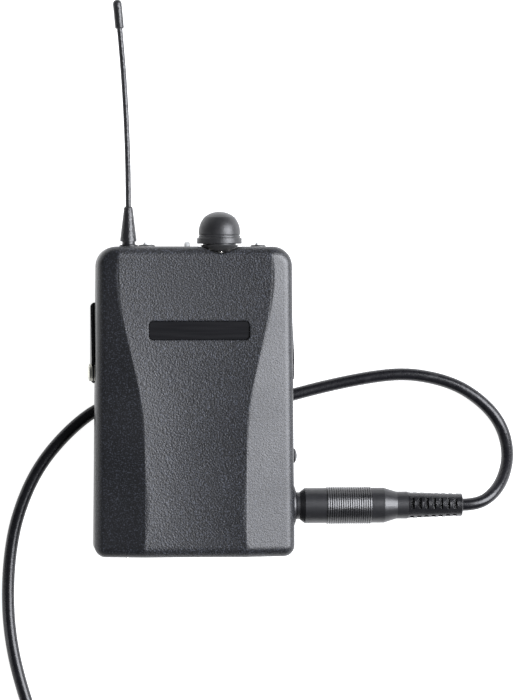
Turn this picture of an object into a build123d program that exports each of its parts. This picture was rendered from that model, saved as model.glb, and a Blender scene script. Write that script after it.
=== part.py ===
from build123d import *
import math
import os

os.makedirs("parts", exist_ok=True)

# Wireless guitar transmitter: a bodypack lying on its belt clip, antenna along +Y, front face up (+Z),
# with a guitar lead plugged into its right side. Millimetres. z = 0 is the surface that it lies on.

# Case
LENGTH = 100.0
HALF_LENGTH = LENGTH / 2
HALF_WIDTH_TOP = 31.4
HALF_WIDTH_BOTTOM = 32.3
CORNER_TOP = 6.4
CORNER_BOTTOM = 3.6
BACK_Z = 6.0
PARTING_Z = 17.0
RIDGE_Z = 29.0
RIDGE_HALF = 16.3
FACET_SLOPE = math.tan(math.radians(12))
FRONT_ROUNDING = 3.4
BACK_ROUNDING = 2.6
WALL = 1.6
CEILING_Z = 25.4
SEAM = 0.3

# Top controls
KNOB_X = 8.2
KNOB_Z = 19.5
ANTENNA_X = -21.0
POWER_LED_X = -15.2
SIGNAL_LED_X = -2.1
MUTE_X = 20.9

# Right side
SIDE_BUTTON_Y = -17.8
JACK_Y = -34.0
PLUG_RADIUS = 3.175
PLUG_REACH = 30.5
PLUG_FACE_X = 33.1

# Belt clip
STEEL = 0.8
CLIP_INNER = 32.12
CLIP_TOP_Y = 31.8
CLIP_BOTTOM_Y = 5.4
PIVOT_Y = 9.2
PIVOT_Z = 12.0
PIN_RADIUS = 1.5
RIVET_RADIUS = 2.75
LUG_RADIUS = 2.4
LUG = 0.4
TONGUE_HALF = 12.5
TONGUE_END_Y = -32.0

# Batteries and their bay
CELL_RADIUS = 7.2
CELL_LENGTH = 49.5
CELL_Y = -46.2
CELL_Z = 15.6
CELL_XS = (-22.7, -8.1)
BAY_RIGHT_X = -0.5
BAY_TOP_Y = 5.6
DOOR_LEFT_X = -28.3
DOOR_RIGHT_X = -2.7
DOOR_TOP_Y = 3.8
DOOR_GAP = 0.2

# Circuit board
BOARD_Z = 23.3
BOARD_THICKNESS = 1.0

# Lead
CORD_RADIUS = 2.05
COIL_CENTRE = (-27.0, -134.0)
COIL_RADIUS = 22.5
COIL_LOW_Z = 2.4
COIL_HIGH_Z = 6.5
TIE_ANGLE = 200.0
FAR_PLUG_X = -8.0

LOW = (Align.CENTER, Align.CENTER, Align.MIN)


def block(x0, x1, y0, y1, z0, z1):
    return Pos((x0 + x1) / 2, (y0 + y1) / 2, (z0 + z1) / 2) * Box(x1 - x0, y1 - y0, z1 - z0)


def rod(start, direction, radius, length):
    return Plane(origin=start, z_dir=direction) * Cylinder(radius, length, align=LOW)


def turned(profile, start, direction):
    """A solid of revolution. The profile is (radius, distance along the axis) corners."""
    face = Plane.XZ * make_face(Polyline(*profile, close=True))
    return Plane(origin=start, z_dir=direction) * revolve(face, Axis.Z)


def crown(radius, top, dome):
    """Profile of a spherical cap: from its rim, at the given radius, to its top on the axis."""
    ball = (radius ** 2 + dome ** 2) / (2 * dome)
    middle = math.asin(radius / ball) / 2
    on_the_way = (ball * math.sin(middle), top - ball + ball * math.cos(middle))
    return ThreePointArc((radius, top - dome), on_the_way, (0, top))


def domed_rod(start, direction, radius, length, dome):
    """A rod whose far end is a spherical cap of the given height."""
    outline = Polyline((0, length), (0, 0), (radius, 0), (radius, length - dome))
    face = Plane.XZ * make_face(outline + crown(radius, length, dome))
    return Plane(origin=start, z_dir=direction) * revolve(face, Axis.Z)


def half_width(y):
    share = (y + HALF_LENGTH) / LENGTH
    return HALF_WIDTH_BOTTOM + (HALF_WIDTH_TOP - HALF_WIDTH_BOTTOM) * share


def case_outline(inset):
    bottom = HALF_WIDTH_BOTTOM - inset
    top = HALF_WIDTH_TOP - inset
    end = HALF_LENGTH - inset
    face = make_face(Polyline((-bottom, -end), (bottom, -end), (top, end), (-top, end), close=True))
    corners = face.vertices().sort_by(Axis.Y)
    face = fillet(corners[:2], CORNER_BOTTOM - min(inset, 1.6))
    corners = [v for v in face.vertices() if v.Y > end - 1]
    return fillet(corners, CORNER_TOP - inset)


def gable(flat_half, flat_z, base_z):
    """The roof of the case: flat across the middle, falling away outward on both sides."""
    edge = 40.0
    edge_z = flat_z - (edge - flat_half) * FACET_SLOPE
    half = [(edge, base_z), (edge, edge_z), (flat_half, flat_z)]
    mirrored = [(-x, z) for x, z in reversed(half)]
    face = Plane.XZ * make_face(Polyline(*half, *mirrored, close=True))
    return extrude(face, amount=60, both=True)


# Waisted panel: (y, half of its width, depth of its hollow)
PANEL = (
    (54.0, 23.9, 0.2),
    (44.0, 25.3, 0.2),
    (33.0, 24.8, 0.3),
    (22.0, 22.5, 0.45),
    (12.0, 20.1, 0.6),
    (2.0, 18.0, 0.8),
    (-9.0, 16.8, 0.9),
    (-22.0, 16.3, 1.0),
    (-44.0, 16.3, 1.0),
    (-54.0, 17.0, 1.0),
)


def panel_section(y, half, depth):
    """Cross-section of the air over the panel: a shallow arc below, a flat lid above."""
    rim = RIDGE_Z - (half - RIDGE_HALF) * FACET_SLOPE
    radius = (half ** 2 + depth ** 2) / (2 * depth)
    reach = half + 2.0
    reach_z = rim - depth + radius - math.sqrt(radius ** 2 - reach ** 2)
    lid = RIDGE_Z + 4.0
    floor_arc = ThreePointArc((-reach, reach_z), (0, rim - depth), (reach, reach_z))
    frame = Polyline((reach, reach_z), (reach, lid), (-reach, lid), (-reach, reach_z))
    return Plane(origin=(0, y, 0), x_dir=(1, 0, 0), z_dir=(0, -1, 0)) * make_face(floor_arc + frame)


def panel_air():
    return loft([panel_section(*row) for row in PANEL])


def is_rim(edge):
    """True for the front edges along the case's outline, false for the panel's borders."""
    middle = edge.center()
    at_end = abs(middle.Y) > HALF_LENGTH - 0.01
    at_side = abs(middle.X) > 26 and (abs(middle.Y) > 44 or edge.length > 80)
    return edge.bounding_box().min.Z > 20 and (at_end or at_side)


def case_outside():
    """The case's outer shape: facets and waisted panel, with all outer edges rounded."""
    body = Pos(0, 0, BACK_Z) * extrude(case_outline(0), amount=26)
    body = body & gable(RIDGE_HALF, RIDGE_Z, 0)
    back = [e for e in body.edges() if e.bounding_box().max.Z < BACK_Z + 0.1]
    body = fillet(back, BACK_ROUNDING)
    body = body - panel_air()
    return fillet([e for e in body.edges() if is_rim(e)], FRONT_ROUNDING)


def case_inside():
    room = Pos(0, 0, BACK_Z + WALL) * extrude(case_outline(WALL), amount=26)
    flat = RIDGE_HALF + (RIDGE_Z - 1.65 - CEILING_Z) / FACET_SLOPE
    return room & gable(flat, CEILING_Z, 0)


def knob_well():
    """The conical recess round the level control, which notches the top edge of the case."""
    floor_y = HALF_LENGTH - 4.6
    profile = [(0, 0), (5.9, 0), (8.5, 5.0), (8.5, 6.6), (0, 6.6)]
    return turned(profile, (KNOB_X, floor_y, KNOB_Z), (0, 1, 0))


def screw_places():
    return ((-26.3, 42.3), (26.3, 42.3), (27.0, -45.3), (-27.0, 12.0))


BOARD_SCREWS = ((22.5, 27.0), (-23.5, 36.0), (24.0, -12.0))


def screw_bosses():
    posts = [Pos(x, y, BACK_Z) * Cylinder(3.4, 20.5, align=LOW) for x, y in screw_places()]
    return posts


def screw_holes():
    holes = []
    for x, y in screw_places():
        holes.append(Pos(x, y, BACK_Z - 1) * Cylinder(2.6, 3.0, align=LOW))
        holes.append(Pos(x, y, BACK_Z) * Cylinder(1.15, 16.3, align=LOW))
    return holes


def bay_walls():
    """Partitions of the battery bay and the rails over the door's flanges."""
    low = BACK_Z + 0.4
    walls = [
        block(BAY_RIGHT_X, BAY_RIGHT_X + 1.2, -49, BAY_TOP_Y + 1.2, low, PARTING_Z),
        block(-31.2, BAY_RIGHT_X + 1.2, BAY_TOP_Y, BAY_TOP_Y + 1.2, low, PARTING_Z),
        block(-31.2, -28.9, -49, BAY_TOP_Y, BACK_Z + 1.5, BACK_Z + 2.5),
        block(-2.2, BAY_RIGHT_X + 0.6, -49, BAY_TOP_Y, BACK_Z + 1.5, BACK_Z + 2.5),
    ]
    return walls


def door_slot():
    """Opening for the sliding door and the grooves that its flanges run in."""
    lip = 0.55
    window = block(DOOR_LEFT_X - DOOR_GAP, DOOR_RIGHT_X + DOOR_GAP, -52, DOOR_TOP_Y + DOOR_GAP, 5, 7.5)
    groove = block(
        DOOR_LEFT_X - 1.3, DOOR_RIGHT_X + 1.3, -52, DOOR_TOP_Y + DOOR_GAP, BACK_Z + lip, BACK_Z + 1.5
    )
    return window + groove


def fitting_holes():
    """Holes for everything that passes through the walls of the case."""
    top = HALF_LENGTH - 7.0
    up = (0, 1, 0)
    side_x = half_width(SIDE_BUTTON_Y)
    return [
        rod((KNOB_X, top, KNOB_Z), up, 3.55, 8),
        rod((ANTENNA_X, top, PARTING_Z), up, 2.3, 8),
        rod((POWER_LED_X, top, PARTING_Z), up, 2.1, 8),
        rod((SIGNAL_LED_X, top, PARTING_Z), up, 0.98, 8),
        rod((MUTE_X, top, PARTING_Z), up, 1.75, 8),
        rod((side_x - 4, SIDE_BUTTON_Y, PARTING_Z), (1, 0, 0), 2.46, 6),
        rod((26, JACK_Y, PARTING_Z), (1, 0, 0), 4.6, 8),
        rod((-34, PIVOT_Y, PIVOT_Z), (1, 0, 0), PIN_RADIUS, 7.0),
        rod((27, PIVOT_Y, PIVOT_Z), (1, 0, 0), PIN_RADIUS, 7.0),
        rod((-21.7, -52, PARTING_Z), up, 0.6, 4),
    ]


def pin_bosses():
    left = rod((-31.2, PIVOT_Y, PIVOT_Z), (1, 0, 0), 3.2, 4.6)
    right = rod((26.6, PIVOT_Y, PIVOT_Z), (1, 0, 0), 3.2, 4.6)
    return [left, right]


def seam_groove():
    strip = Pos(0, 0, PARTING_Z - SEAM / 2) * extrude(case_outline(-1), amount=SEAM)
    core = Pos(0, 0, PARTING_Z - SEAM / 2) * extrude(case_outline(SEAM), amount=SEAM)
    return strip - core


def badge_place():
    return 1.2, 23.0


def badge_block(grow, bottom, top):
    x, y = badge_place()
    length = 32.3 + 2 * grow
    height = 5.9 + 2 * grow
    return Pos(x, y, bottom) * extrude(RectangleRounded(length, height, 1.4), amount=top - bottom)


BADGE_FLOOR = RIDGE_Z - (22.7 - RIDGE_HALF) * FACET_SLOPE - 0.95
BADGE_TOP = BADGE_FLOOR + 0.42


def case_body():
    """Both halves of the case in one, before the cut at the parting plane."""
    outside = case_outside()
    solids = outside - case_inside()
    inner_parts = screw_bosses() + bay_walls() + pin_bosses()
    inner_parts.append(rod((KNOB_X, 43.8, KNOB_Z), (0, 1, 0), 10.4, 6.2))
    for x, y in BOARD_SCREWS:
        inner_parts.append(Pos(x, y, BOARD_Z + BOARD_THICKNESS) * Cylinder(2.2, 2, align=LOW))
    for piece in inner_parts:
        solids = solids + (piece & outside)
    cutters = [knob_well(), door_slot(), badge_block(0.1, BADGE_FLOOR, 32)]
    cutters += screw_holes() + fitting_holes() + [seam_groove()]
    for x, y in BOARD_SCREWS:
        cutters.append(Pos(x, y, BOARD_Z) * Cylinder(0.8, 2.9, align=LOW))
    for cutter in cutters:
        solids = solids - cutter
    return outside, solids


def biggest(shape):
    return max(shape.solids(), key=lambda s: s.volume)


def battery_door(outside):
    """Door plate with side flanges, finger ridges and an end that follows the case's rounding."""
    plate = block(DOOR_LEFT_X, DOOR_RIGHT_X, -51, DOOR_TOP_Y, BACK_Z, BACK_Z + 1.3)
    flange = block(DOOR_LEFT_X - 1.1, DOOR_RIGHT_X + 1.1, -49.2, DOOR_TOP_Y, BACK_Z + 0.75, BACK_Z + 1.3)
    door = (plate + flange) & outside
    for n in range(5):
        y = -45.0 + 2.0 * n
        door = door - rod((-21, y, BACK_Z - 0.3), (1, 0, 0), 0.7, 11)
    return door


def badge():
    """Blank name plate let into the front."""
    plate = badge_block(0, BADGE_FLOOR, BADGE_TOP)
    return chamfer(plate.faces().sort_by(Axis.Z)[-1].edges(), 0.15)


def rear_label():
    """Blank rating label let flat onto the back."""
    sheet = Pos(15.5, -28, BACK_Z - 0.12) * extrude(RectangleRounded(24, 22, 1.5), amount=0.12)
    return sheet


def main_board():
    outline = make_face(
        Polyline(
            (-27, BAY_TOP_Y), (-27, 40), (-1.5, 40), (-1.5, 31), (18.5, 31), (18.5, 40), (27, 40),
            (27, -41), (-26.5, -41), (-26.5, BAY_TOP_Y), close=True,
        )
    )
    board = Pos(0, 0, BOARD_Z) * extrude(outline, amount=BOARD_THICKNESS)
    for x, y in BOARD_SCREWS:
        board = board - Pos(x, y, BOARD_Z - 1) * Cylinder(0.9, 4, align=LOW)
    for x, y in screw_places():
        board = board - Pos(x, y, BOARD_Z - 1) * Cylinder(3.7, 4, align=LOW)
    return board


def rf_shield():
    can = block(-20, -3, 12, 32, BOARD_Z - 2.8, BOARD_Z)
    room = block(-19.7, -3.3, 12.3, 31.7, BOARD_Z - 2.5, BOARD_Z + 1)
    return can - room


CHIPS = (
    (8, 22, 7, 7, 1.1),
    (10, 6, 9, 9, 1.2),
    (20, 14, 4, 6, 1.6),
    (6, -8, 5, 4, 1.4),
    (14, -9, 3.5, 6, 2.6),
    (20, 3, 5, 5, 1.8),
)


def board_chips():
    chips = []
    for x, y, wide, long, tall in CHIPS:
        chips.append(block(x - wide / 2, x + wide / 2, y - long / 2, y + long / 2, BOARD_Z - tall, BOARD_Z))
    return Compound(chips)


def cells():
    sleeves = []
    for n, x in enumerate(CELL_XS):
        start = CELL_Y if n == 0 else CELL_Y + 1.0
        sleeves.append(rod((x, start, CELL_Z), (0, 1, 0), CELL_RADIUS, CELL_LENGTH - 1.0))
    return Compound(sleeves)


def cell_ends():
    """Bare ends of the two cells: the first cell's button is up, the second one's is down."""
    ends = []
    for n, x in enumerate(CELL_XS):
        facing = 1 if n == 0 else -1
        flat_y = CELL_Y + CELL_LENGTH - 1.0 if n == 0 else CELL_Y + 1.0
        ring = [(0, 0), (5.6, 0), (5.6, 0.3), (2.7, 0.3), (2.7, 1.0), (0, 1.0)]
        ends.append(turned(ring, (x, flat_y, CELL_Z), (0, facing, 0)))
    return Compound(ends)


def contact_plates():
    plates = []
    for n, x in enumerate(CELL_XS):
        plates.append(block(x - 5, x + 5, 5.2, 5.5, 10.5, 20.5))
        plates.append(block(x - 5, x + 5, -48.2, -47.9, 10.5, 20.5))
    return Compound(plates)


def contact_springs():
    """Conical springs against the flat ends of the cells."""
    cone = [(3.6, 0), (4.4, 0), (2.6, 1.5), (1.8, 1.5)]
    down = turned(cone, (CELL_XS[0], -47.85, CELL_Z), (0, 1, 0))
    up = turned(cone, (CELL_XS[1], 5.15, CELL_Z), (0, -1, 0))
    return Compound([down, up])


def level_control_body():
    can = block(KNOB_X - 5.5, KNOB_X + 5.5, 33.5, 42.0, 13.2, 25.2)
    bush = rod((KNOB_X, 42.0, KNOB_Z), (0, 1, 0), 3.5, 6.0)
    bore = rod((KNOB_X, 38.0, KNOB_Z), (0, 1, 0), 2.55, 12)
    return can + bush - bore


def level_control_nut():
    nut = extrude(RegularPolygon(4.9, 6), amount=1.7)
    nut = Plane(origin=(KNOB_X, HALF_LENGTH - 4.55, KNOB_Z), z_dir=(0, 1, 0)) * nut
    return nut - rod((KNOB_X, 44, KNOB_Z), (0, 1, 0), 3.52, 6)


def level_shaft():
    return rod((KNOB_X, 38.3, KNOB_Z), (0, 1, 0), 2.5, 17.5)


def level_skirt():
    """Ring under the knob's dome, tapering below into the recess."""
    cone = [(2.55, 48.35), (3.1, 48.35), (6.3, 50.3), (5.3, 50.55), (5.3, 50.9)]
    ring = [(7.15, 50.9), (7.25, 51.05), (7.25, 52.6), (7.1, 52.8), (2.55, 52.8)]
    profile = cone + ring
    return turned(profile, (KNOB_X, 0, KNOB_Z), (0, 1, 0))


def level_knob():
    """Soft dome with a fine groove near its foot, bored for the shaft."""
    groove = [(6.7, 53.9), (6.5, 53.7), (6.5, 53.5), (6.75, 53.3), (6.75, 52.85)]
    foot = Polyline(*groove, (0, 52.85), (0, 61.3))
    side = ThreePointArc((6.7, 53.9), (6.45, 56.6), (5.0, 59.4))
    face = Plane.XZ * make_face(foot + side + crown(5.0, 61.3, 1.9))
    dome = Plane(origin=(KNOB_X, 0, KNOB_Z), z_dir=(0, 1, 0)) * revolve(face, Axis.Z)
    return dome - rod((KNOB_X, 52, KNOB_Z), (0, 1, 0), 2.5, 3.9)


def antenna_ferrule():
    stem = [(0, 43.6), (2.25, 43.6), (2.25, 50.05)]
    flange = [(3.0, 50.05), (3.0, 50.4), (2.1, 50.7), (2.1, 51.6), (0, 51.6)]
    return turned(stem + flange, (ANTENNA_X, 0, PARTING_Z), (0, 1, 0))


def antenna_boot():
    profile = [(0, 51.6), (2.65, 51.6), (2.65, 52.4), (1.43, 62.4), (1.2, 62.8), (0, 62.8)]
    return turned(profile, (ANTENNA_X - 0.1, 0, PARTING_Z), (0, 1, 0))


WHIP_START = (ANTENNA_X - 0.1, 62.8)
WHIP_BEND = 600.0
WHIP_LENGTH = 57.5


def whip_turn():
    return math.degrees(WHIP_LENGTH / WHIP_BEND)


def whip_end():
    turn = math.radians(whip_turn())
    x = WHIP_START[0] - WHIP_BEND * (1 - math.cos(turn))
    return x, WHIP_START[1] + WHIP_BEND * math.sin(turn), PARTING_Z


def antenna_whip():
    """Flexible whip with a slight set to the left."""
    hub = (WHIP_START[0] - WHIP_BEND, WHIP_START[1], PARTING_Z)
    section = Plane(origin=(*WHIP_START, PARTING_Z), z_dir=(0, 1, 0)) * Circle(0.9)
    return revolve(section, Axis(hub, (0, 0, 1)), revolution_arc=whip_turn())


def antenna_tip():
    turn = math.radians(whip_turn())
    along = (-math.sin(turn), math.cos(turn), 0)
    body = Polyline((0, 9.4), (0, 0), (1.2, 0), (1.45, 0.3), (1.45, 7.96))
    face = Plane.XZ * make_face(body + crown(1.45, 9.4, 1.44))
    return Plane(origin=whip_end(), z_dir=along) * revolve(face, Axis.Z)


def power_bezel():
    stem = [(1.15, 47.6), (2.05, 47.6), (2.05, 50.02)]
    flange = [(2.75, 50.02), (2.75, 50.3), (2.2, 50.6), (1.15, 50.6)]
    return turned(stem + flange, (POWER_LED_X, 0, PARTING_Z), (0, 1, 0))


def power_light():
    return domed_rod((POWER_LED_X, 46.8, PARTING_Z), (0, 1, 0), 1.1, 4.8, 0.9)


def signal_light():
    return domed_rod((SIGNAL_LED_X, 46.8, PARTING_Z), (0, 1, 0), 0.92, 4.9, 0.8)


def mute_bezel():
    stem = [(1.0, 47.8), (1.7, 47.8), (1.7, 50.02)]
    flange = [(2.45, 50.02), (2.45, 50.3), (2.1, 50.55), (1.0, 50.55)]
    return turned(stem + flange, (MUTE_X, 0, PARTING_Z), (0, 1, 0))


def mute_button():
    cap = domed_rod((MUTE_X, 46.6, PARTING_Z), (0, 1, 0), 0.92, 5.0, 0.7)
    return cap + rod((MUTE_X, 46.0, PARTING_Z), (0, 1, 0), 1.4, 1.0)


def mute_switch():
    body = block(MUTE_X - 1.9, MUTE_X + 1.9, 41.3, 45.4, PARTING_Z - 3, BOARD_Z - 0.05)
    return body - block(MUTE_X - 1.5, MUTE_X + 1.5, 44.9, 46, PARTING_Z - 1.5, PARTING_Z + 1.5)


def side_button():
    """Domed push button standing out of the right side."""
    face_x = half_width(SIDE_BUTTON_Y)
    cap = domed_rod((face_x - 2.4, SIDE_BUTTON_Y, PARTING_Z), (1, 0, 0), 2.4, 3.95, 0.8)
    return cap + rod((face_x - 3.4, SIDE_BUTTON_Y, PARTING_Z), (1, 0, 0), 3.0, 1.4)


def side_switch():
    face_x = half_width(SIDE_BUTTON_Y)
    return block(face_x - 8.4, face_x - 4.2, SIDE_BUTTON_Y - 3, SIDE_BUTTON_Y + 3, 14, BOARD_Z - 0.05)


def status_stud():
    return domed_rod((-21.7, -50.6, PARTING_Z), (0, 1, 0), 0.58, 2.2, 0.3)


def jack_body():
    box = block(1.2, 29.0, JACK_Y - 7.4, JACK_Y + 7.4, 10.4, BOARD_Z - 0.1)
    bore = rod((2.2, JACK_Y, PARTING_Z), (1, 0, 0), 3.5, 30)
    pocket = block(5.0, 20.0, JACK_Y - 1.4, JACK_Y + 1.4, 18, 22)
    return box - bore - pocket


def jack_bezel():
    """Screwed collar of the socket, with a low cone outside the case."""
    wall_x = half_width(JACK_Y)
    length = wall_x - 29.05 + 0.08
    profile = [
        (3.35, 0), (4.5, 0), (4.5, length), (6.5, length), (6.3, length + 0.5), (5.2, length + 0.85),
        (3.35, length + 0.85),
    ]
    return turned(profile, (29.05, JACK_Y, PARTING_Z), (1, 0, 0))


def jack_contacts():
    """Leaf contact that presses on the plug's tip."""
    x0 = PLUG_FACE_X - PLUG_REACH + 2.6
    leaf = block(x0, x0 + 14, JACK_Y - 1.2, JACK_Y + 1.2, 21.2, 21.6)
    toe = block(x0, x0 + 1.6, JACK_Y - 1.2, JACK_Y + 1.2, 20.3, 21.2)
    return leaf + toe


# Plug: each profile is (radius, distance from the shoulder away from the cord's end)
def plug_frame(shape, near):
    if near:
        return Plane(origin=(PLUG_FACE_X, JACK_Y, PARTING_Z), z_dir=(1, 0, 0)) * shape
    x, y, z = far_shoulder()
    return Plane(origin=(x, y, z), z_dir=(-1, 0, 0)) * shape


RELIEF_END = 54.3
GRIP_START = 10.1
GRIP_END = 24.6
RIBS = 20
MOULD_ANGLE = -68


def far_shoulder():
    y = COIL_CENTRE[1] - COIL_RADIUS - CORD_RADIUS
    return FAR_PLUG_X + RELIEF_END, y, COIL_HIGH_Z


def upright(profile):
    return revolve(Plane.XZ * make_face(Polyline(*profile, close=True)), Axis.Z)


def plug_tip():
    """Pointed tip with the waist that the socket's leaf springs into."""
    nose = [(0, -PLUG_REACH), (0.9, -PLUG_REACH), (2.9, -27.2), (2.9, -26.6)]
    waist = [(2.1, -25.2), (2.9, -23.9), (2.9, -23.5), (0, -23.5)]
    return upright(nose + waist)


def plug_insulator():
    return upright([(0, -23.5), (2.95, -23.5), (2.95, -22.3), (0, -22.3)])


def plug_sleeve():
    r = PLUG_RADIUS
    return upright([(0, -22.3), (r - 0.15, -22.3), (r, -22.1), (r, 0), (0, 0)])


def plug_collar():
    return upright([(0, 0), (4.1, 0), (4.38, 0.25), (4.38, 1.2), (5.4, 2.5), (0, 2.5)])


def mould_line():
    """Fine raised line along the barrel, on both sides of the grip."""
    front = block(-0.1, 0.1, 5.6, 5.84, 3.4, GRIP_START - 0.4)
    back = block(-0.1, 0.1, 5.6, 5.84, GRIP_END + 0.4, 28.4)
    return Rot(0, 0, MOULD_ANGLE) * (front + back)


def plug_handle():
    """Smooth barrel, cone and neck of the plug."""
    front = [(0, 2.5), (5.4, 2.5), (5.75, 2.9), (5.75, GRIP_START), (5.4, GRIP_START), (5.4, GRIP_END)]
    barrel = [(5.75, GRIP_END), (5.75, 28.7), (5.6, 29.2)]
    neck = [(4.6, 32.4), (4.45, 32.9), (4.45, 36.5), (0, 36.5)]
    return upright(front + barrel + neck) + mould_line()


def plug_grip():
    """Ribbed sleeve round the barrel."""
    pitch = (GRIP_END - GRIP_START) / RIBS
    profile = [(5.4, GRIP_START)]
    for n in range(RIBS):
        foot = GRIP_START + pitch * n
        profile.append((5.65, foot))
        profile.append((6.12, foot + 0.12 * pitch))
        profile.append((5.94, foot + 0.72 * pitch))
        profile.append((5.65, foot + 0.82 * pitch))
    profile.append((5.65, GRIP_END))
    profile.append((5.4, GRIP_END))
    return upright(profile)


def strain_relief():
    """Tapered sleeve round the cord, with rows of four slots that let it bend."""
    taper = [(0, 36.5), (4.3, 36.5), (4.3, 37.2), (3.75, 53.2)]
    rim = [(3.75, RELIEF_END - 0.2), (3.55, RELIEF_END), (0, RELIEF_END)]
    body = upright(taper + rim)
    for row in range(7):
        slot = Pos(3.9, 0, 37.2 + 2.33 * row) * Box(2.4, 3.6, 1.3, align=LOW)
        for side in range(4):
            body = body - Rot(0, 0, 90 * side - 12) * slot
    return body


PLUG_PIECES = {
    "tip": plug_tip,
    "insulator": plug_insulator,
    "sleeve": plug_sleeve,
    "collar": plug_collar,
    "handle": plug_handle,
    "grip": plug_grip,
    "strain_relief": strain_relief,
}

# The cord's way, from the plug in the pack to where the put-away coil begins
ROUTE = [
    (PLUG_FACE_X + RELIEF_END, JACK_Y, PARTING_Z),
    (92.6, -34.0, 17.0),
    (98.3, -30.6, 14.6),
    (102.3, -25.3, 10.3),
    (104.4, -18.3, 5.6),
    (103.3, -10.3, 2.5),
    (98.9, -3.4, 2.1),
    (91.1, 2.9, 2.1),
    (82.8, 6.4, 2.1),
    (71.8, 8.4, 2.1),
    (60.7, 7.6, 2.1),
    (44.0, 4.3, 2.1),
    (27.0, -0.2, 3.1),
    (11.0, -3.2, 3.5),
    (-6.0, -3.4, 3.5),
    (-20.0, -1.2, 3.3),
    (-29.0, -1.6, 2.6),
    (-40.0, -9.9, 2.1),
    (-50.3, -22.2, 2.1),
    (-56.8, -37.3, 2.1),
    (-59.5, -51.8, 2.1),
    (-60.0, -67.9, 2.1),
    (-58.5, -81.5, 2.1),
    (-55.4, -94.0, 2.1),
    (-51.55, -105.5, COIL_LOW_Z),
    (-51.55, -118.0, COIL_LOW_Z),
]


def bend_radii():
    points = [Vector(*p) for p in ROUTE]
    radii = []
    for before, at, after in zip(points, points[1:], points[2:]):
        run = min((at - before).length, (after - at).length)
        turn = math.radians((at - before).get_angle(after - at))
        radii.append(0.45 * run / math.tan(turn / 2))
    return radii


def cord_tube():
    path = FilletPolyline(*ROUTE, radius=bend_radii())
    section = Plane(origin=ROUTE[0], z_dir=(1, 0, 0)) * Circle(CORD_RADIUS)
    tube = sweep(section, path=path)
    print("cord bend radii", [round(r, 1) for r in bend_radii()])
    print("cord tube", round(path.length, 1), "volume ratio",
          round(tube.volume / (math.pi * CORD_RADIUS ** 2 * path.length), 4))
    return tube


TIE_HALF = 3.0


def coil_bundle():
    """Outer shape of the neat coil, with the two straight ends that leave it."""
    x, y = COIL_CENTRE
    wide = 4 * CORD_RADIUS + 0.3
    tall = COIL_HIGH_Z + CORD_RADIUS + 0.1
    section = Pos(COIL_RADIUS, tall / 2) * RectangleRounded(wide, tall, 2.0)
    ring = Pos(x, y, 0) * revolve(Plane.XZ * section, Axis.Z)
    outer_turn = COIL_RADIUS + CORD_RADIUS
    entry = rod((x - outer_turn, y, COIL_LOW_Z), (0, 1, 0), CORD_RADIUS, ROUTE[-1][1] - y)
    way_out = rod((x, y - outer_turn, COIL_HIGH_Z), (1, 0, 0), CORD_RADIUS, FAR_PLUG_X - x)
    return ring + entry + way_out - tie_band(0.05)


def tie_band(grow):
    """Band tied round the bundle."""
    tall = COIL_HIGH_Z + CORD_RADIUS + 0.1
    outer_half = 2 * CORD_RADIUS + 0.75
    inner_half = 2 * CORD_RADIUS - 0.35
    half = TIE_HALF + grow
    near, far = COIL_RADIUS - outer_half, COIL_RADIUS + outer_half
    outer = block(near, far, -half, half, -grow, tall + 0.5)
    outer = fillet(outer.edges().filter_by(Axis.Y), 1.6)
    near, far = COIL_RADIUS - inner_half, COIL_RADIUS + inner_half
    inner = block(near, far, -half, half, 0.35 + grow, tall - 0.5 - grow)
    inner = fillet(inner.edges().filter_by(Axis.Y), 1.4)
    return Pos(*COIL_CENTRE, 0) * Rot(0, 0, TIE_ANGLE) * (outer - inner)


def clip_arm():
    """Side arm's outline in the YZ plane: low at the top end, rising to a round lug at the pivot."""
    corners = Polyline(
        (CLIP_BOTTOM_Y, 0), (CLIP_TOP_Y, 0), (CLIP_TOP_Y, 4.6), (PIVOT_Y + 4.6, PIVOT_Z + 3.0),
        (PIVOT_Y + 1.2, PIVOT_Z + 2.0), (PIVOT_Y - 2.2, PIVOT_Z - 0.6), (CLIP_BOTTOM_Y, PIVOT_Z - 3.6),
        close=True,
    )
    face = make_face(corners)
    face = fillet([v for v in face.vertices() if v.Y > 1 and abs(v.X - PIVOT_Y - 1.2) > 0.1], 1.2)
    lug = Pos(PIVOT_Y, PIVOT_Z) * Circle(LUG_RADIUS)
    hole = Pos(PIVOT_Y, PIVOT_Z) * Circle(PIN_RADIUS + 0.05)
    return Plane.YZ * (face + lug - hole)


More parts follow.
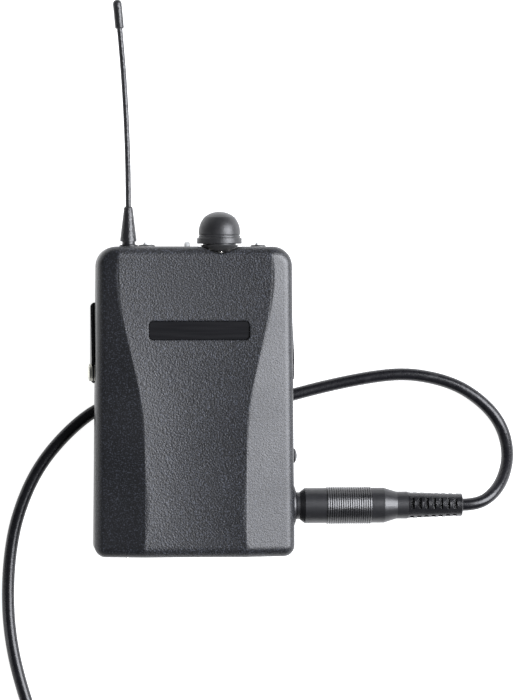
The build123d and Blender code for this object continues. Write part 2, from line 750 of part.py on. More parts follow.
def belt_clip():
    """Sprung steel clip: plate under the upper back, two side arms and a tongue down the back."""
    outer = CLIP_INNER + STEEL
    plate = block(-outer, outer, CLIP_BOTTOM_Y, CLIP_TOP_Y, 0, STEEL)
    tongue = block(-TONGUE_HALF, TONGUE_HALF, TONGUE_END_Y, CLIP_BOTTOM_Y + 1, 0, STEEL)
    tip = [e for e in tongue.edges().filter_by(Axis.Z) if e.center().Y < TONGUE_END_Y + 0.1]
    tongue = fillet(tip, 6.0)
    ridge = rod((-9, TONGUE_END_Y + 3.2, STEEL - 0.35), (1, 0, 0), 0.95, 18)
    ridge = ridge & block(-10, 10, -40, -20, 0.2, 3)
    for side in (-1, 1):
        start = CLIP_INNER if side > 0 else -outer
        plate = plate + Pos(start, 0, 0) * extrude(clip_arm(), amount=STEEL)
    length = CLIP_TOP_Y - CLIP_BOTTOM_Y
    from_above = RectangleRounded(2 * outer, length, 1.5)
    plate = plate & (Pos(0, CLIP_BOTTOM_Y + length / 2, -1) * extrude(from_above, amount=30))
    seat = rod((-CLIP_INNER - LUG, PIVOT_Y, PIVOT_Z), (-1, 0, 0), RIVET_RADIUS + 0.35, 2)
    clip = plate + tongue + ridge - seat
    window = Pos(0, 21.5, -1) * extrude(RectangleRounded(26, 8, 3.0), amount=3)
    clip = clip - window
    outer_x = CLIP_INNER + STEEL - 0.1
    low_edges = [e for e in clip.edges().filter_by(Axis.Y) if e.center().Z < 0.05]
    return fillet([e for e in low_edges if abs(e.center().X) > outer_x], 0.6)


def left_pivot():
    """Shouldered rivet pressed into the case, with its broad head outside the clip's thin lug."""
    wall = half_width(PIVOT_Y) + 0.02
    lug_outside = CLIP_INNER + LUG + 0.06
    pin = rod((-27.2, PIVOT_Y, PIVOT_Z), (-1, 0, 0), PIN_RADIUS, lug_outside - 27.2 + 0.1)
    shoulder = rod((-wall, PIVOT_Y, PIVOT_Z), (-1, 0, 0), RIVET_RADIUS, CLIP_INNER - 0.06 - wall)
    head = domed_rod((-lug_outside, PIVOT_Y, PIVOT_Z), (-1, 0, 0), RIVET_RADIUS, 1.5, 0.45)
    return pin + shoulder + head


def right_pivot():
    """Plain pin pressed into the case, ending inside the arm."""
    return rod((27.2, PIVOT_Y, PIVOT_Z), (1, 0, 0), PIN_RADIUS, CLIP_INNER + STEEL - 0.05 - 27.2)


def clip_spring():
    """Bowed leaf between the plate and the back of the case."""
    width = 10.0
    arc = ThreePointArc((14.5, 1.1), (21.5, 5.45), (28.5, 1.1))
    under = ThreePointArc((28.0, 1.0), (21.5, 5.05), (15.0, 1.0))
    face = make_face(arc + Line((28.5, 1.1), (28.0, 1.0)) + under + Line((15.0, 1.0), (14.5, 1.1)))
    leaf = extrude(Plane.YZ * face, amount=width / 2, both=True)
    return leaf


def clip_pads():
    """Thin rubber pads under the plate and the back's upper end."""
    return Pos(0, 36.0, BACK_Z - 0.5) * extrude(RectangleRounded(34, 5, 1.5), amount=0.5)


def case_screws():
    screws = []
    for x, y in screw_places():
        profile = [(0, 0.35), (0.9, 0), (2.45, 0), (2.45, 1.55), (1.1, 1.95), (1.1, 15.8), (0, 16.2)]
        screw = turned(profile, (x, y, BACK_Z), (0, 0, 1))
        screws.append(screw - block(x - 1.5, x + 1.5, y - 0.25, y + 0.25, BACK_Z - 1, BACK_Z + 0.5)
                      - block(x - 0.25, x + 0.25, y - 1.5, y + 1.5, BACK_Z - 1, BACK_Z + 0.5))
    return Compound(screws)


def board_screws():
    profile = [(0, 0), (1.6, 0), (1.6, 0.95), (0.78, 0.95), (0.78, 3.3), (0, 3.5)]
    screws = [turned(profile, (x, y, BOARD_Z - 1.0), (0, 0, 1)) for x, y in BOARD_SCREWS]
    return Compound(screws)


def save(name, shape):
    """Writes one piece."""
    export_step(shape, f"parts/{name}.step")


def main():
    outside, case = case_body()
    above = block(-60, 60, -70, 70, PARTING_Z, 60)
    below = block(-60, 60, -70, 70, -10, PARTING_Z)
    save("front_shell", biggest(case & above))
    save("rear_shell", biggest(case & below))
    save("battery_door", battery_door(outside))
    save("badge", badge())
    save("rear_label", rear_label())
    save("main_board", main_board())
    save("rf_shield", rf_shield())
    save("board_chips", board_chips())
    save("battery_cells", cells())
    save("battery_ends", cell_ends())
    save("battery_contacts", contact_plates())
    save("battery_springs", contact_springs())
    save("level_control", level_control_body())
    save("level_control_nut", level_control_nut())
    save("level_shaft", level_shaft())
    save("level_skirt", level_skirt())
    save("level_knob", level_knob())
    save("antenna_ferrule", antenna_ferrule())
    save("antenna_boot", antenna_boot())
    save("antenna_whip", antenna_whip())
    save("antenna_tip", antenna_tip())
    save("power_bezel", power_bezel())
    save("power_light", power_light())
    save("signal_light", signal_light())
    save("mute_bezel", mute_bezel())
    save("mute_button", mute_button())
    save("mute_switch", mute_switch())
    save("side_button", side_button())
    save("side_switch", side_switch())
    save("status_stud", status_stud())
    save("jack_body", jack_body())
    save("jack_bezel", jack_bezel())
    save("jack_contact", jack_contacts())
    for name, make in PLUG_PIECES.items():
        save(f"plug_{name}", plug_frame(make(), True))
        save(f"far_plug_{name}", plug_frame(make(), False))
    save("cord_tube", cord_tube())
    save("cord_coil", coil_bundle())
    save("cord_tie", tie_band(0))
    save("belt_clip", belt_clip())
    save("clip_pin_left", left_pivot())
    save("clip_pin_right", right_pivot())
    save("clip_spring", clip_spring())
    save("back_pad", clip_pads())
    save("case_screws", case_screws())
    save("board_screws", board_screws())


main()
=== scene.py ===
import math

import bpy
from mathutils import Matrix, Vector


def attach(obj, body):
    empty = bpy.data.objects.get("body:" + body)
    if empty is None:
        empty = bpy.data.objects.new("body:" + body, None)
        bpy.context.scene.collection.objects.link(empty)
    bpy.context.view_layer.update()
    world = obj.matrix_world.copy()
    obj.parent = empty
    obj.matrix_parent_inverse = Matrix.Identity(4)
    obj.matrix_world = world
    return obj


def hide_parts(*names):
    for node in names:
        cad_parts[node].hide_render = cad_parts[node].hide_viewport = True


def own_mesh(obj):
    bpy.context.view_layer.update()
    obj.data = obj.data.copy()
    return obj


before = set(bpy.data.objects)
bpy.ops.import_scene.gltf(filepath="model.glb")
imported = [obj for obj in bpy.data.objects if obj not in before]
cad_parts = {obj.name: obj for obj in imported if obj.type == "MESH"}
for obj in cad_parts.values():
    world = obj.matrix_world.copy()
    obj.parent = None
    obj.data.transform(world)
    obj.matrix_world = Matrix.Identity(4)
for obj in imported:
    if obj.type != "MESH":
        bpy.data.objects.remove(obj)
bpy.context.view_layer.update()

MM = 0.001
CORD_RADIUS = 2.05 * MM
COIL_CENTRE = Vector((-27.0, -134.0, 0.0)) * MM
COIL_RADIUS = 22.5 * MM
COIL_LOW = 2.4 * MM
COIL_HIGH = 6.5 * MM
TIE_ANGLE = math.radians(200)

VIEW_TARGET = Vector((20.4, 16.5, 17.0)) * MM
VIEW_DIRECTION = Vector((-0.0785, 0.021, 0.9967)).normalized()
VIEW_DISTANCE = 1.2
VIEW_HEIGHT = 226.73 * MM

# The case's front panel, as its material needs it: half widths at the waist and near the top
WAIST_Y, WIDE_Y = -12.0 * MM, 40.0 * MM
WAIST_HALF, WIDE_HALF = 16.5 * MM, 24.6 * MM
PANEL_LOW_Z, PANEL_FULL_Z = 24.5 * MM, 25.5 * MM


# ---------------------------------------------------------------- camera, floor and lights

def add_camera():
    """Almost straight down, from a little to the left of the pack and towards its top."""
    data = bpy.data.cameras.new("camera")
    data.sensor_fit = "AUTO"
    data.sensor_width = 36.0
    data.lens = data.sensor_width * VIEW_DISTANCE / VIEW_HEIGHT
    data.clip_start = 0.05
    data.clip_end = 20.0
    camera = bpy.data.objects.new("camera", data)
    right = Vector((0, 1, 0)).cross(VIEW_DIRECTION).normalized()
    up = VIEW_DIRECTION.cross(right)
    turn = Matrix((right, up, VIEW_DIRECTION)).transposed()
    place = VIEW_TARGET + VIEW_DIRECTION * VIEW_DISTANCE
    camera.matrix_world = Matrix.Translation(place) @ turn.to_4x4()
    bpy.context.scene.collection.objects.link(camera)
    bpy.context.scene.camera = camera


def add_area_light(name, place, aim, size, power, color):
    """A rectangular softbox at place that faces aim."""
    data = bpy.data.lights.new(name, "AREA")
    data.shape = "RECTANGLE"
    data.size, data.size_y = size
    data.energy = power
    data.color = color
    lamp = bpy.data.objects.new(name, data)
    lamp.location = place
    lamp.rotation_mode = "QUATERNION"
    lamp.rotation_quaternion = (Vector(place) - Vector(aim)).to_track_quat("Z", "Y")
    bpy.context.scene.collection.objects.link(lamp)


def add_stage():
    """A white floor bright enough to hide shadows, a large softbox right and a strip left."""
    half = 4.0
    below_pieces = 0.05 * MM
    mesh = bpy.data.meshes.new("floor")
    corners = [(-half, -half, 0), (half, -half, 0), (half, half, 0), (-half, half, 0)]
    mesh.from_pydata(corners, [], [(0, 1, 2, 3)])
    floor = bpy.data.objects.new("floor", mesh)
    floor.location.z = -below_pieces
    bpy.context.scene.collection.objects.link(floor)
    look = Shader("floor_white", (0.45, 0.45, 0.45), 0.7)
    look.bsdf.inputs["Emission Color"].default_value = (1, 1, 1, 1)
    look.bsdf.inputs["Emission Strength"].default_value = 0.98
    floor.data.materials.append(look.material)

    world = bpy.data.worlds.new("studio")
    world.use_nodes = True
    background = world.node_tree.nodes["Background"]
    background.inputs["Color"].default_value = (0.93, 0.96, 1.0, 1)
    background.inputs["Strength"].default_value = 0.11
    bpy.context.scene.world = world
    bpy.context.scene.view_settings.view_transform = "Standard"

    middle = (0.02, 0.0, 0.015)
    cool = (0.93, 0.945, 1.0)
    add_area_light("key_softbox", (0.83, 0.18, 0.82), middle, (0.88, 0.95), 43.5, cool)
    add_area_light("left_strip", (-1.1, -0.30, 0.22), middle, (0.16, 0.9), 2.2, cool)


# ---------------------------------------------------------------- materials

class Shader:
    """A Principled material, with short calls for the nodes behind it."""

    def __init__(self, name, color, roughness, metallic=0.0):
        self.material = bpy.data.materials.new(name)
        self.material.use_nodes = True
        self.nodes = self.material.node_tree.nodes
        self.links = self.material.node_tree.links
        self.bsdf = self.nodes["Principled BSDF"]
        self.bsdf.inputs["Base Color"].default_value = (*color, 1)
        self.bsdf.inputs["Roughness"].default_value = roughness
        self.bsdf.inputs["Metallic"].default_value = metallic
        self.place = self.nodes.new("ShaderNodeTexCoord").outputs["Object"]

    def feed(self, socket, value):
        """Links a node's output to socket, or sets the socket to a number or colour."""
        if isinstance(value, bpy.types.NodeSocket):
            self.links.new(value, socket)
        elif isinstance(value, tuple) and len(value) == 3 and socket.type == "RGBA":
            socket.default_value = (*value, 1)
        else:
            socket.default_value = value

    def noise(self, size, detail=2.0, stretch=(1, 1, 1)):
        """Noise from 0 to 1 whose features are about size metres across."""
        mapping = self.nodes.new("ShaderNodeMapping")
        mapping.inputs["Scale"].default_value = stretch
        self.feed(mapping.inputs["Vector"], self.place)
        node = self.nodes.new("ShaderNodeTexNoise")
        self.feed(node.inputs["Vector"], mapping.outputs["Vector"])
        node.inputs["Scale"].default_value = 1.0 / size
        node.inputs["Detail"].default_value = detail
        return node.outputs["Fac"]

    def cells(self, size):
        """Small cells about size metres across: the distance from each one's middle."""
        node = self.nodes.new("ShaderNodeTexVoronoi")
        self.feed(node.inputs["Vector"], self.place)
        node.inputs["Scale"].default_value = 1.0 / size
        return node.outputs["Distance"]

    def span(self, value, low, high, to_low=0.0, to_high=1.0, smooth=False):
        """value from low..high to to_low..to_high, kept within them."""
        node = self.nodes.new("ShaderNodeMapRange")
        node.interpolation_type = "SMOOTHSTEP" if smooth else "LINEAR"
        for name, number in (("Value", value), ("From Min", low), ("From Max", high)):
            self.feed(node.inputs[name], number)
        self.feed(node.inputs["To Min"], to_low)
        self.feed(node.inputs["To Max"], to_high)
        return node.outputs["Result"]

    def math(self, operation, a, b=0.0):
        """The result of a Math node."""
        node = self.nodes.new("ShaderNodeMath")
        node.operation = operation
        self.feed(node.inputs[0], a)
        self.feed(node.inputs[1], b)
        return node.outputs[0]

    def blend(self, share, a, b):
        """Colour a to colour b as share goes from 0 to 1."""
        node = self.nodes.new("ShaderNodeMix")
        node.data_type = "RGBA"
        color_a, color_b, mixed = 6, 7, 2  # the node's colour sockets
        self.feed(node.inputs["Factor"], share)
        self.feed(node.inputs[color_a], a)
        self.feed(node.inputs[color_b], b)
        return node.outputs[mixed]

    def axis(self, letter):
        """The X, Y or Z of the place on the object, in metres."""
        node = self.nodes.new("ShaderNodeSeparateXYZ")
        self.feed(node.inputs[0], self.place)
        return node.outputs[letter]

    def bump(self, height, depth, strength=1.0, under=None):
        """Raises the surface by height times depth metres."""
        node = self.nodes.new("ShaderNodeBump")
        node.inputs["Strength"].default_value = strength
        node.inputs["Distance"].default_value = depth
        self.feed(node.inputs["Height"], height)
        if under is not None:
            self.feed(node.inputs["Normal"], under)
        return node.outputs["Normal"]

    def color(self, value):
        self.feed(self.bsdf.inputs["Base Color"], value)

    def roughness(self, value):
        self.feed(self.bsdf.inputs["Roughness"], value)

    def normal(self, value):
        self.feed(self.bsdf.inputs["Normal"], value)

    def soft_corner(self, radius):
        """The normal of a surface whose edges are rounded over by radius metres."""
        node = self.nodes.new("ShaderNodeBevel")
        node.samples = 6
        node.inputs["Radius"].default_value = radius
        return node.outputs["Normal"]


def moulded_plastic(name, tone, grain, depth, rough):
    """Black injection-moulded plastic: spark-eroded grain, faint flow marks, a little dust."""
    s = Shader(name, tone, rough)
    fine = s.noise(grain, 3.0)
    coarse = s.noise(0.018, 2.0)
    dust = s.span(s.noise(0.0035, 4.0), 0.56, 0.78)
    pale = tuple(c * 1.7 + 0.003 for c in tone)
    s.color(s.blend(s.math("MULTIPLY", dust, 0.35), s.blend(fine, tone, pale), (0.03, 0.031, 0.033)))
    s.roughness(s.span(s.math("ADD", fine, coarse), 0.6, 1.4, rough - 0.06, rough + 0.08))
    s.normal(s.bump(fine, depth, 1.0, s.bump(coarse, 0.00004)))
    return s


def case_plastic():
    """The case: coarser, glittering grain inside the waisted panel and a finer one around it."""
    tone = (0.0050, 0.0052, 0.0062)
    pale = (0.062, 0.068, 0.086)
    border, corner = 0.2 * MM, 0.9 * MM
    grain_depth, flow_depth, hollow_depth = 0.06 * MM, 0.03 * MM, 0.8 * MM
    s = Shader("case_plastic", tone, 0.42)
    x = s.math("ABSOLUTE", s.axis("X"))
    y = s.axis("Y")
    waist = s.span(y, WAIST_Y, WIDE_Y, WAIST_HALF, WIDE_HALF, smooth=True)
    within = s.span(s.math("SUBTRACT", waist, x), -border, border)
    panel = s.math("MULTIPLY", within, s.span(s.axis("Z"), PANEL_LOW_Z, PANEL_FULL_Z))
    fine = s.noise(0.00022, 2.0)
    grit = s.noise(0.00055, 1.0)
    flow = s.noise(0.022, 2.0)
    sparkle = s.span(s.noise(0.00042, 1.0), 0.52, 0.72)
    glitter = s.math("MULTIPLY", sparkle, s.span(panel, 0.0, 1.0, 0.52, 0.80))
    speckled = s.blend(glitter, tone, pale)
    s.color(s.blend(s.math("MULTIPLY", fine, 0.2), speckled, (0.012, 0.013, 0.015)))
    waviness = s.span(flow, 0.35, 0.65, -0.02, 0.03)
    s.roughness(s.math("ADD", s.span(panel, 0.0, 1.0, 0.40, 0.46), waviness))
    coarse = s.math("MULTIPLY", grit, s.span(panel, 0.0, 1.0, 1.0, 2.7))
    grain = s.math("ADD", s.math("MULTIPLY", fine, 0.5), coarse)
    # The panel's hollow shades more strongly near the top than its shape alone would
    across = s.math("MINIMUM", s.math("DIVIDE", x, waist), 1.0)
    towards_top = s.span(y, -30.0 * MM, 35.0 * MM, 0.15, 1.0)
    sunk = s.math("MULTIPLY", s.math("MULTIPLY", across, across), towards_top)
    hollow = s.bump(sunk, hollow_depth, 1.0, s.soft_corner(corner))
    s.normal(s.bump(grain, grain_depth, 0.9, s.bump(flow, flow_depth, 1.0, hollow)))
    return s


def gloss_plate():
    """Polished black plate with very fine lengthwise brushing."""
    s = Shader("badge_gloss", (0.006, 0.006, 0.007), 0.18)
    hair = s.noise(0.0009, 3.0, (0.05, 1.0, 1.0))
    s.color(s.blend(hair, (0.005, 0.005, 0.006), (0.009, 0.009, 0.010)))
    s.roughness(s.span(hair, 0.3, 0.7, 0.15, 0.22))
    s.normal(s.bump(hair, 0.000002))
    return s


def soft_rubber(name, tone, rough, grain=0.00035, depth=0.00003):
    """Soft-touch rubber: dull, a fine dimpled skin, slightly paler where it has been handled."""
    s = Shader(name, tone, rough)
    skin = s.cells(grain)
    handled = s.span(s.noise(0.006, 3.0), 0.45, 0.75)
    pale = tuple(c * 1.8 + 0.003 for c in tone)
    s.color(s.blend(s.math("MULTIPLY", handled, 0.6), tone, pale))
    s.roughness(s.span(s.math("ADD", handled, skin), 0.2, 1.4, rough - 0.07, rough + 0.08))
    s.normal(s.bump(skin, depth, 0.8))
    s.bsdf.inputs["Sheen Weight"].default_value = 0.12
    s.bsdf.inputs["Sheen Roughness"].default_value = 0.5
    return s


def plated_metal(name, tone, rough, lay=(1.0, 1.0, 1.0)):
    """Plated metal with fine turning or rolling marks and a little tarnish."""
    s = Shader(name, tone, rough, 1.0)
    marks = s.noise(0.00018, 2.0, lay)
    tarnish = s.span(s.noise(0.0025, 4.0), 0.5, 0.8)
    dull = tuple(c * 0.62 for c in tone)
    s.color(s.blend(s.math("MULTIPLY", tarnish, 0.5), tone, dull))
    s.roughness(s.span(s.math("ADD", marks, tarnish), 0.3, 1.6, rough, rough + 0.20))
    s.normal(s.bump(marks, 0.000012))
    return s


def powder_coat():
    """Black coated spring steel with a fine orange-peel skin."""
    s = Shader("black_steel", (0.008, 0.008, 0.009), 0.34)
    peel = s.noise(0.0007, 2.0)
    speck = s.span(s.noise(0.0016, 5.0), 0.68, 0.76)
    s.color(s.blend(s.math("MULTIPLY", speck, 0.2), (0.007, 0.007, 0.008), (0.03, 0.03, 0.03)))
    s.roughness(s.span(peel, 0.3, 0.7, 0.30, 0.40))
    s.normal(s.bump(peel, 0.00003))
    return s


def solder_mask():
    """Green circuit board with tracks under its lacquer."""
    s = Shader("board_green", (0.012, 0.10, 0.035), 0.32)
    tracks = s.nodes.new("ShaderNodeTexBrick")
    s.feed(tracks.inputs["Vector"], s.place)
    tracks.inputs["Scale"].default_value = 260.0
    tracks.inputs["Mortar Size"].default_value = 0.06
    s.color(s.blend(tracks.outputs["Fac"], (0.012, 0.085, 0.03), (0.03, 0.19, 0.07)))
    s.roughness(s.span(s.noise(0.002, 3.0), 0.3, 0.7, 0.26, 0.40))
    s.normal(s.bump(tracks.outputs["Fac"], 0.00003))
    return s


def cell_wrap():
    """Shrink sleeve of a cell: dark, with a copper-coloured shoulder at one end."""
    s = Shader("cell_wrap", (0.03, 0.035, 0.05), 0.24)
    band = s.span(s.axis("Y"), -9.5 * MM, -9.3 * MM)
    crease = s.noise(0.003, 3.0, (1.0, 0.2, 1.0))
    dark = s.blend(crease, (0.020, 0.024, 0.035), (0.045, 0.05, 0.065))
    s.color(s.blend(band, dark, (0.55, 0.27, 0.10)))
    s.roughness(s.span(crease, 0.3, 0.7, 0.18, 0.34))
    s.normal(s.bump(crease, 0.00003))
    return s


def paper_label():
    """Blank rating label with a fine printed border."""
    middle_x, middle_y = 15.5 * MM, -28.0 * MM
    half_wide, half_tall, half_line = 10.8 * MM, 9.8 * MM, 0.15 * MM
    s = Shader("label_paper", (0.50, 0.51, 0.52), 0.46)
    fibre = s.noise(0.0006, 4.0)
    x = s.math("ABSOLUTE", s.math("SUBTRACT", s.axis("X"), middle_x))
    y = s.math("ABSOLUTE", s.math("SUBTRACT", s.axis("Y"), middle_y))
    edge = s.math("MAXIMUM", s.math("SUBTRACT", x, half_wide), s.math("SUBTRACT", y, half_tall))
    line = s.math("LESS_THAN", s.math("ABSOLUTE", edge), half_line)
    paper = s.blend(fibre, (0.46, 0.47, 0.48), (0.56, 0.57, 0.58))
    s.color(s.blend(line, paper, (0.05, 0.05, 0.05)))
    s.roughness(s.span(fibre, 0.3, 0.7, 0.40, 0.52))
    s.normal(s.bump(fibre, 0.000008))
    return s


def frosted_lens():
    """Small frosted plastic dome over a light."""
    s = Shader("lens_frosted", (0.80, 0.81, 0.80), 0.30)
    cloud = s.noise(0.0006, 3.0)
    s.color(s.blend(cloud, (0.70, 0.71, 0.70), (0.88, 0.89, 0.88)))
    s.roughness(s.span(cloud, 0.3, 0.7, 0.22, 0.38))
    s.normal(s.bump(cloud, 0.00001))
    s.bsdf.inputs["Subsurface Weight"].default_value = 0.4
    s.bsdf.inputs["Subsurface Radius"].default_value = (0.001, 0.001, 0.001)
    return s


def woven_strap():
    """Black nylon loop strap."""
    s = Shader("strap_nylon", (0.02, 0.02, 0.022), 0.7)
    warp = s.nodes.new("ShaderNodeTexWave")
    s.feed(warp.inputs["Vector"], s.place)
    warp.inputs["Scale"].default_value = 500.0
    fuzz = s.noise(0.0004, 4.0)
    weave = s.math("MULTIPLY", fuzz, warp.outputs["Fac"])
    s.color(s.blend(weave, (0.014, 0.014, 0.016), (0.07, 0.07, 0.075)))
    s.roughness(s.span(fuzz, 0.3, 0.7, 0.62, 0.85))
    s.normal(s.bump(s.math("ADD", fuzz, warp.outputs["Fac"]), 0.00012))
    s.bsdf.inputs["Sheen Weight"].default_value = 0.5
    return s


def cord_jacket():
    """Satin black PVC: faint draw marks, the odd scuff."""
    s = Shader("cord_jacket", (0.005, 0.005, 0.006), 0.30)
    ripple = s.noise(0.0009, 2.0)
    scuff = s.span(s.noise(0.005, 5.0), 0.60, 0.75)
    plain = s.blend(ripple, (0.003, 0.003, 0.004), (0.007, 0.007, 0.009))
    s.color(s.blend(s.math("MULTIPLY", scuff, 0.3), plain, (0.020, 0.020, 0.022)))
    s.roughness(s.span(s.math("ADD", ripple, scuff), 0.3, 1.4, 0.26, 0.40))
    s.normal(s.bump(ripple, 0.00003))
    s.bsdf.inputs["IOR"].default_value = 1.3
    s.bsdf.inputs["Specular IOR Level"].default_value = 0.9
    return s


def paint_cad_nodes():
    """Every CAD node that stays visible gets its material."""
    case = case_plastic()
    satin = moulded_plastic("trim_black", (0.008, 0.008, 0.009), 0.00030, 0.00002, 0.34)
    barrel = moulded_plastic("plug_shell", (0.008, 0.008, 0.009), 0.00026, 0.00002, 0.36)
    chip = moulded_plastic("chip_epoxy", (0.020, 0.020, 0.021), 0.00018, 0.00002, 0.55)
    knob = soft_rubber("soft_knob", (0.009, 0.009, 0.010), 0.44)
    boot = soft_rubber("antenna_rubber", (0.007, 0.007, 0.008), 0.36, 0.00060, 0.00009)
    grip = soft_rubber("grip_rubber", (0.010, 0.010, 0.011), 0.26)
    relief = soft_rubber("relief_rubber", (0.004, 0.004, 0.005), 0.24)
    nickel = plated_metal("nickel_plate", (0.80, 0.77, 0.72), 0.14, (0.1, 1.0, 1.0))
    rivet = plated_metal("rivet_nickel", (0.90, 0.89, 0.80), 0.50)
    steel = plated_metal("bright_steel", (0.62, 0.62, 0.61), 0.26, (1.0, 0.15, 1.0))
    tin = plated_metal("tin_plate", (0.66, 0.66, 0.63), 0.34)
    lens = frosted_lens()
    looks = {
        case: ("front_shell", "rear_shell", "battery_door"),
        gloss_plate(): ("badge",),
        paper_label(): ("rear_label",),
        solder_mask(): ("main_board",),
        tin: ("rf_shield", "battery_contacts", "battery_ends", "jack_contact"),
        chip: ("board_chips", "mute_switch", "side_switch", "level_control", "jack_body"),
        cell_wrap(): ("battery_cells",),
        knob: ("level_knob", "level_skirt"),
        boot: ("antenna_boot", "antenna_whip", "antenna_tip", "back_pad"),
        satin: ("antenna_ferrule", "power_bezel", "mute_bezel", "side_button", "jack_bezel",
                "plug_insulator", "far_plug_insulator"),
        barrel: ("plug_collar", "plug_handle", "far_plug_collar", "far_plug_handle"),
        grip: ("plug_grip", "far_plug_grip"),
        relief: ("plug_strain_relief", "far_plug_strain_relief"),
        rivet: ("clip_pin_left", "clip_pin_right"),
        nickel: ("level_control_nut", "level_shaft", "status_stud",
                 "plug_tip", "plug_sleeve", "far_plug_tip", "far_plug_sleeve"),
        steel: ("case_screws", "board_screws"),
        lens: ("power_light", "signal_light", "mute_button"),
        powder_coat(): ("belt_clip",),
    }
    for shader, names in looks.items():
        for name in names:
            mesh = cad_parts[name].data
            mesh.materials.clear()
            mesh.materials.append(shader.material)


# ---------------------------------------------------------------- cord

# Same points as the cord's tube in the CAD model, in metres
ROUTE = [
    (0.0874, -0.0340, 0.0170),
    (0.0926, -0.0340, 0.0170),
    (0.0983, -0.0306, 0.0146),
    (0.1023, -0.0253, 0.0103),
    (0.1044, -0.0183, 0.0056),
    (0.1033, -0.0103, 0.0025),
    (0.0989, -0.0034, 0.0021),
    (0.0911, 0.0029, 0.0021),
    (0.0828, 0.0064, 0.0021),
    (0.0718, 0.0084, 0.0021),
    (0.0607, 0.0076, 0.0021),
    (0.0440, 0.0043, 0.0021),
    (0.0270, -0.0002, 0.0031),
    (0.0110, -0.0032, 0.0035),
    (-0.0060, -0.0034, 0.0035),
    (-0.0200, -0.0012, 0.0033),
    (-0.0290, -0.0016, 0.0026),
    (-0.0400, -0.0099, 0.0021),
    (-0.0503, -0.0222, 0.0021),
    (-0.0568, -0.0373, 0.0021),
    (-0.0595, -0.0518, 0.0021),
    (-0.0600, -0.0679, 0.0021),
    (-0.0585, -0.0815, 0.0021),
    (-0.0554, -0.0940, 0.0021),
    (-0.05155, -0.1055, 0.0024),
    (-0.05155, -0.1180, 0.0024),
]
FAR_PLUG_X = -8.0 * MM

# Where the coil's path changes lane, in degrees along it from the X axis
COIL_START = 180.0
COIL_TURNS = 3.25
STEP_IN = (465, 525)
STEP_UP = (775, 830)
STEP_OUT = (1080, 1135)


def ease(value, start, end):
    """0 before start, 1 after end, and a smooth step between."""
    share = min(1.0, max(0.0, (value - start) / (end - start)))
    return share * share * (3 - 2 * share)


def coil_points():
    """Three and a quarter turns: outer low, inner low, inner high, then out over the first."""
    per_turn = 16
    swell = 1 / math.cos(math.pi / per_turn)  # the curve runs inside its control points
    points = []
    steps = int(COIL_TURNS * per_turn)
    for n in range(1, steps):
        angle = COIL_START + 360.0 * n / per_turn
        inward = ease(angle, *STEP_IN) - ease(angle, *STEP_OUT)
        radius = (COIL_RADIUS + CORD_RADIUS * (1 - 2 * inward)) * swell
        height = COIL_LOW + (COIL_HIGH - COIL_LOW) * ease(angle, *STEP_UP)
        turn = math.radians(angle)
        points.append(COIL_CENTRE + Vector((radius * math.cos(turn), radius * math.sin(turn), height)))
    return points


def add_cord(look):
    """The whole cord as one round curve: route, coil and the way to the guitar-end plug."""
    way_out_y = COIL_CENTRE.y - COIL_RADIUS - CORD_RADIUS
    # Straight out of the coil and into the plug's strain relief
    ends = [
        Vector((COIL_CENTRE.x + 4 * MM, way_out_y, COIL_HIGH)),
        Vector((FAR_PLUG_X - 8 * MM, way_out_y, COIL_HIGH)),
        Vector((FAR_PLUG_X, way_out_y, COIL_HIGH)),
    ]
    points = [Vector(p) for p in ROUTE] + coil_points() + ends
    curve = bpy.data.curves.new("cord", "CURVE")
    curve.dimensions = "3D"
    spline = curve.splines.new("NURBS")
    spline.points.add(len(points) - 1)
    for at, point in zip(spline.points, points):
        at.co = (*point, 1.0)
    spline.order_u = 3
    spline.use_endpoint_u = True
    spline.resolution_u = 8
    curve.bevel_depth = CORD_RADIUS
    curve.bevel_resolution = 5
    curve.use_fill_caps = True
    cord = bpy.data.objects.new("cord", curve)
    bpy.context.scene.collection.objects.link(cord)
    curve.materials.append(look)
    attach(cord, "case")
    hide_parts("cord_tube", "cord_coil")
    return cord


# ---------------------------------------------------------------- mesh pieces

def mesh_object(name, vertices, faces, look, body):
    """A smooth mesh piece that rides on body."""
    mesh = bpy.data.meshes.new(name)
    mesh.from_pydata(vertices, [], faces)
    mesh.update()
    mesh.materials.append(look)
    piece = bpy.data.objects.new(name, mesh)
    bpy.context.scene.collection.objects.link(piece)
    mesh.shade_smooth()
    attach(piece, body)
    return piece


def soften_edges(piece, width):
    """Rounds the sharp edges of a mesh piece by width metres."""
    bevel = piece.modifiers.new("soft_edges", "BEVEL")
    bevel.width = width
    bevel.segments = 2
    bevel.limit_method = "ANGLE"


def rounded_square(half_wide, half_tall, corner, per_corner=6):
    """Outline of a rectangle with round corners, about its middle."""
    points = []
    for quarter, (sx, sy) in enumerate(((1, 1), (-1, 1), (-1, -1), (1, -1))):
        for n in range(per_corner + 1):
            angle = math.radians(90 * quarter + 90 * n / per_corner)
            x = sx * (half_wide - corner) + corner * math.cos(angle)
            y = sy * (half_tall - corner) + corner * math.sin(angle)
            points.append((x, y))
    return points


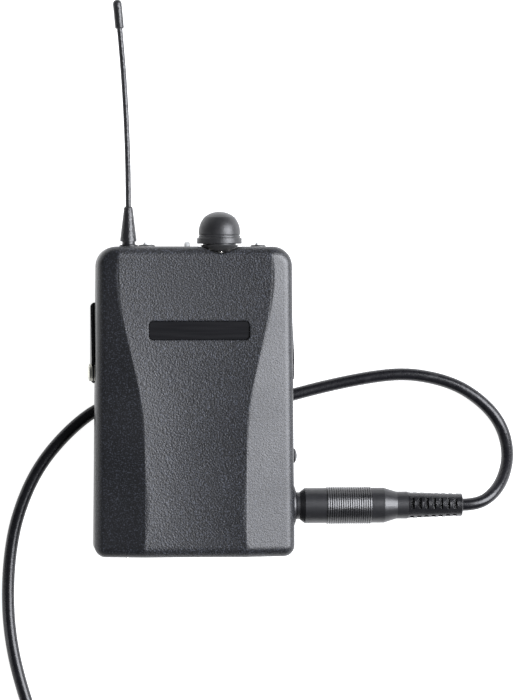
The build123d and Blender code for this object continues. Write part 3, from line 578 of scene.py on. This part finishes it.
def add_tie(look):
    """A snug strap round the four strands."""
    middle_z = (COIL_LOW + COIL_HIGH) / 2
    clearance, thick, half, flatter = 0.05 * MM, 0.35 * MM, 3.0 * MM, 0.03 * MM
    snug = 2 * CORD_RADIUS + clearance
    outer = rounded_square(snug + thick, snug + thick - flatter, 2.1 * MM)
    inner = rounded_square(snug, snug - flatter, 1.8 * MM)
    rows = ((inner, -half), (outer, -half), (outer, half), (inner, half))
    vertices = []
    for outline, along in rows:
        for across, up in outline:
            vertices.append((COIL_RADIUS + across, along, middle_z + up))
    count = len(outer)
    faces = []
    for row in range(len(rows)):
        after = (row + 1) % len(rows)
        for n in range(count):
            m = (n + 1) % count
            faces.append((row * count + n, row * count + m, after * count + m, after * count + n))
    turn = Matrix.Rotation(TIE_ANGLE, 4, "Z")
    place = Matrix.Translation(COIL_CENTRE) @ turn
    vertices = [place @ Vector(v) for v in vertices]
    tie = mesh_object("cord_strap", vertices, faces, look, "case")
    soften_edges(tie, 0.12 * MM)
    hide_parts("cord_tie")
    return tie


def add_leaf_spring(look):
    """Bowed leaf with turned-up feet, pressed between the clip's plate and the case."""
    start, end, steps = 14.5 * MM, 28.5 * MM, 28
    top, foot, thick = 5.45 * MM, 1.35 * MM, 0.35 * MM
    widest, taper = 5.0 * MM, 1.2 * MM
    foot_share, curl_rise = 0.07, 4.5 * MM
    vertices = []
    for n in range(steps + 1):
        share = n / steps
        arch = min(1.0, max(0.0, (share - foot_share) / (1 - 2 * foot_share)))
        bow = math.sin(math.pi * arch) ** 0.8
        curl = max(0.0, foot_share - min(share, 1 - share)) * curl_rise
        along = start + (end - start) * share
        under = foot - thick + (top - foot) * bow + curl
        half = widest - taper * (2 * share - 1) ** 4
        for across, up in ((-half, under), (half, under), (half, under + thick), (-half, under + thick)):
            vertices.append((across, along, up))
    faces = [(0, 1, 2, 3), tuple(4 * steps + n for n in (3, 2, 1, 0))]
    for n in range(steps):
        for side in range(4):
            a, b = 4 * n + side, 4 * n + (side + 1) % 4
            faces.append((a, a + 4, b + 4, b))
    leaf = mesh_object("leaf_spring", vertices, faces, look, "case")
    soften_edges(leaf, 0.06 * MM)
    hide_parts("clip_spring")
    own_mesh(leaf)


def add_battery_springs(look):
    """Conical wire springs against the flat ends of the two cells."""
    curve = bpy.data.curves.new("battery_springs", "CURVE")
    curve.dimensions = "3D"
    turns, per_turn = 2.5, 14
    count = int(turns * per_turn)
    wide, narrow, rise, axis_z = 4.1 * MM, 2.1 * MM, 1.0 * MM, 15.6 * MM
    for axis_x, wall_y, facing in ((-22.7 * MM, -47.62 * MM, 1), (-8.1 * MM, 4.92 * MM, -1)):
        spline = curve.splines.new("POLY")
        spline.points.add(count)
        for n, point in enumerate(spline.points):
            share = n / count
            turn = 2 * math.pi * turns * share
            radius = wide + (narrow - wide) * share
            x = axis_x + radius * math.cos(turn)
            y = wall_y + facing * rise * share
            z = axis_z + radius * math.sin(turn)
            point.co = (x, y, z, 1.0)
    curve.bevel_depth = 0.22 * MM
    curve.bevel_resolution = 3
    curve.use_fill_caps = True
    curve.materials.append(look)
    springs = bpy.data.objects.new("coil_springs", curve)
    bpy.context.scene.collection.objects.link(springs)
    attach(springs, "case")
    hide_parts("battery_springs")


add_camera()
add_stage()
paint_cad_nodes()
cord = add_cord(cord_jacket().material)
strap = add_tie(woven_strap().material)
bright = plated_metal("spring_wire", (0.66, 0.66, 0.65), 0.24, (1.0, 0.2, 1.0)).material
add_leaf_spring(bright)
add_battery_springs(bright)
